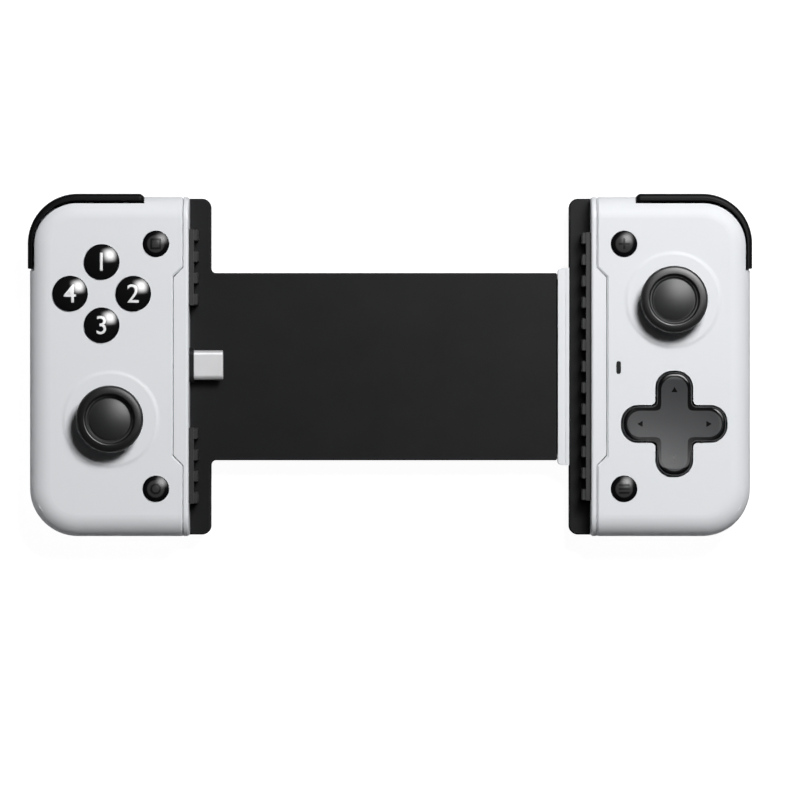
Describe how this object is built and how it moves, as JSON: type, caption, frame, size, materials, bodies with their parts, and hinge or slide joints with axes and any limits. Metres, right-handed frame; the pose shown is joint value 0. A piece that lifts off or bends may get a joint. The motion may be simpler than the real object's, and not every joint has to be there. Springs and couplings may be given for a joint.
{
  "type": "mobile game controller",
  "caption": "Stretch-out game controller that holds a phone between two white grips, with thumb sticks, a direction pad, round buttons, shoulder buttons and a plug.",
  "frame": {"origin": "on the table plane under the controller, midway between the two grips' outer sides and at mid height of the grips, with the grips pushed together", "axes": "+X along the controller from the plug grip to the sliding grip, +Y up the grips towards the shoulder buttons, +Z from the table to the player's face"},
  "size_m": [0.201, 0.095, 0.029],
  "materials": {
    "white_shell": "fine satin moulded plastic",
    "white_trim": "fine satin moulded plastic",
    "black_shell": "fine matt moulded plastic",
    "black_gloss": "polished plastic",
    "bumper_black": "semi-gloss plastic",
    "pad_grey": "satin plastic with a bevelled edge",
    "stick_rubber": "soft-touch rubber",
    "pad_rubber": "moulded rubber",
    "membrane_rubber": "translucent silicone",
    "circuit_green": "solder-masked laminate",
    "module_metal": "plated sheet",
    "gimbal_plastic": "acetal",
    "pin_steel": "ground steel",
    "spring_steel": "spring wire",
    "screw_steel": "black-oxide steel",
    "plug_metal": "satin nickel plate",
    "ribbon_film": "polyimide film",
    "light_pipe": "dark clear plastic",
    "tongue_black": "filled nylon"
  },
  "bodies": {
    "left_grip": {"left_front_shell": "white_shell", "left_back_shell": "white_shell", "left_end_cover": "white_trim", "left_circuit_board": "circuit_green", "left_stick_base": "module_metal", "left_bumper_pin": "pin_steel", "left_bumper_switch": "gimbal_plastic", "left_trigger_pin": "pin_steel", "left_trigger_spring": "spring_steel", "left_housing_screws": "screw_steel", "left_tie_screws": "screw_steel", "left_phone_pads": "pad_rubber", "plug_shell": "plug_metal", "plug_tongue": "gimbal_plastic", "plug_collar": "black_shell", "face_button_membrane": "membrane_rubber", "bridge_front_plate": "black_shell", "bridge_back_plate": "black_shell", "bridge_springs": "spring_steel", "ribbon_cable": "ribbon_film"},
    "right_grip": {"right_front_shell": "white_shell", "right_back_shell": "white_shell", "right_end_cover": "white_trim", "right_circuit_board": "circuit_green", "right_stick_base": "module_metal", "right_bumper_pin": "pin_steel", "right_bumper_switch": "gimbal_plastic", "right_trigger_pin": "pin_steel", "right_trigger_spring": "spring_steel", "right_housing_screws": "screw_steel", "right_tie_screws": "screw_steel", "right_phone_pad": "pad_rubber", "direction_pad_membrane": "membrane_rubber", "status_light": "light_pipe", "slide_tongue": "tongue_black", "bridge_collar": "white_trim", "flange_tray": "black_shell"},
    "left_stick_rocker": {"left_stick_rocker": "gimbal_plastic"},
    "left_stick_carrier": {"left_stick_carrier": "gimbal_plastic"},
    "left_stick": {"left_stick_post": "pin_steel", "left_stick_cap": "stick_rubber"},
    "left_upper_button": {"left_upper_button": "black_gloss"},
    "left_lower_button": {"left_lower_button": "black_gloss"},
    "left_bumper": {"left_bumper": "bumper_black"},
    "left_trigger": {"left_trigger": "bumper_black"},
    "right_stick_rocker": {"right_stick_rocker": "gimbal_plastic"},
    "right_stick_carrier": {"right_stick_carrier": "gimbal_plastic"},
    "right_stick": {"right_stick_post": "pin_steel", "right_stick_cap": "stick_rubber"},
    "right_upper_button": {"right_upper_button": "black_gloss"},
    "right_lower_button": {"right_lower_button": "black_gloss"},
    "right_bumper": {"right_bumper": "bumper_black"},
    "right_trigger": {"right_trigger": "bumper_black"},
    "face_button_top": {"face_button_top": "black_gloss"},
    "face_button_left": {"face_button_left": "black_gloss"},
    "face_button_right": {"face_button_right": "black_gloss"},
    "face_button_bottom": {"face_button_bottom": "black_gloss"},
    "direction_pad_pivot": {"direction_pad_pivot": "pin_steel"},
    "direction_pad": {"direction_pad": "pad_grey"}
  },
  "joints": [
    {"name": "bridge_slide", "type": "slide", "parent": "left_grip", "child": "right_grip", "axis": [1, 0, 0], "range_m": [0, 0.062], "stiffness_N_per_m": 25, "springref_m": -0.04, "deforming": ["bridge_springs", "ribbon_cable"]},
    {"name": "left_stick_up_down", "type": "hinge", "parent": "left_grip", "child": "left_stick_rocker", "pos_m": [-0.0773, -0.0146, 0.0125], "axis": [1, 0, 0], "range_deg": [-14, 14], "stiffness_Nm_per_rad": 0.03},
    {"name": "left_stick_left_right", "type": "hinge", "parent": "left_stick_rocker", "child": "left_stick_carrier", "pos_m": [-0.0773, -0.0146, 0.0125], "axis": [0, 1, 0], "range_deg": [-14, 14], "stiffness_Nm_per_rad": 0.03},
    {"name": "left_stick_click", "type": "slide", "parent": "left_stick_carrier", "child": "left_stick", "axis": [0, 0, -1], "range_m": [0, 0.0005], "stiffness_N_per_m": 3000},
    {"name": "left_upper_press", "type": "slide", "parent": "left_grip", "child": "left_upper_button", "axis": [0, 0, -1], "range_m": [0, 0.0006], "stiffness_N_per_m": 1500},
    {"name": "left_lower_press", "type": "slide", "parent": "left_grip", "child": "left_lower_button", "axis": [0, 0, -1], "range_m": [0, 0.0006], "stiffness_N_per_m": 1500},
    {"name": "left_bumper_press", "type": "hinge", "parent": "left_grip", "child": "left_bumper", "pos_m": [-0.0706, 0.0424, 0.0148], "axis": [0, 0, 1], "range_deg": [0, 0.9], "stiffness_Nm_per_rad": 2},
    {"name": "left_trigger_pull", "type": "hinge", "parent": "left_grip", "child": "left_trigger", "pos_m": [-0.0815, 0.0385, 0.0083], "axis": [-1, 0, 0], "range_deg": [0, 12], "stiffness_Nm_per_rad": 0.15, "deforming": ["left_trigger_spring"]},
    {"name": "right_stick_up_down", "type": "hinge", "parent": "right_grip", "child": "right_stick_rocker", "pos_m": [0.0784, 0.01842, 0.0125], "axis": [1, 0, 0], "range_deg": [-14, 14], "stiffness_Nm_per_rad": 0.03},
    {"name": "right_stick_left_right", "type": "hinge", "parent": "right_stick_rocker", "child": "right_stick_carrier", "pos_m": [0.0784, 0.01842, 0.0125], "axis": [0, 1, 0], "range_deg": [-14, 14], "stiffness_Nm_per_rad": 0.03},
    {"name": "right_stick_click", "type": "slide", "parent": "right_stick_carrier", "child": "right_stick", "axis": [0, 0, -1], "range_m": [0, 0.0005], "stiffness_N_per_m": 3000},
    {"name": "right_upper_press", "type": "slide", "parent": "right_grip", "child": "right_upper_button", "axis": [0, 0, -1], "range_m": [0, 0.0006], "stiffness_N_per_m": 1500},
    {"name": "right_lower_press", "type": "slide", "parent": "right_grip", "child": "right_lower_button", "axis": [0, 0, -1], "range_m": [0, 0.0006], "stiffness_N_per_m": 1500},
    {"name": "right_bumper_press", "type": "hinge", "parent": "right_grip", "child": "right_bumper", "pos_m": [0.0706, 0.0424, 0.0148], "axis": [0, 0, -1], "range_deg": [0, 0.9], "stiffness_Nm_per_rad": 2},
    {"name": "right_trigger_pull", "type": "hinge", "parent": "right_grip", "child": "right_trigger", "pos_m": [0.0815, 0.0385, 0.0083], "axis": [-1, 0, 0], "range_deg": [0, 12], "stiffness_Nm_per_rad": 0.15, "deforming": ["right_trigger_spring"]},
    {"name": "face_press_top", "type": "slide", "parent": "left_grip", "child": "face_button_top", "axis": [0, 0, -1], "range_m": [0, 0.0012], "stiffness_N_per_m": 700, "deforming": ["face_button_membrane"]},
    {"name": "face_press_left", "type": "slide", "parent": "left_grip", "child": "face_button_left", "axis": [0, 0, -1], "range_m": [0, 0.0012], "stiffness_N_per_m": 700, "deforming": ["face_button_membrane"]},
    {"name": "face_press_right", "type": "slide", "parent": "left_grip", "child": "face_button_right", "axis": [0, 0, -1], "range_m": [0, 0.0012], "stiffness_N_per_m": 700, "deforming": ["face_button_membrane"]},
    {"name": "face_press_bottom", "type": "slide", "parent": "left_grip", "child": "face_button_bottom", "axis": [0, 0, -1], "range_m": [0, 0.0012], "stiffness_N_per_m": 700, "deforming": ["face_button_membrane"]},
    {"name": "pad_up_down", "type": "hinge", "parent": "right_grip", "child": "direction_pad_pivot", "pos_m": [0.0787, -0.01592, 0.0179], "axis": [1, 0, 0], "range_deg": [-4, 4], "stiffness_Nm_per_rad": 0.2, "deforming": ["direction_pad_membrane"]},
    {"name": "pad_left_right", "type": "hinge", "parent": "direction_pad_pivot", "child": "direction_pad", "pos_m": [0.0787, -0.01592, 0.0179], "axis": [0, 1, 0], "range_deg": [-4, 4], "stiffness_Nm_per_rad": 0.2, "deforming": ["direction_pad_membrane"]}
  ]
}
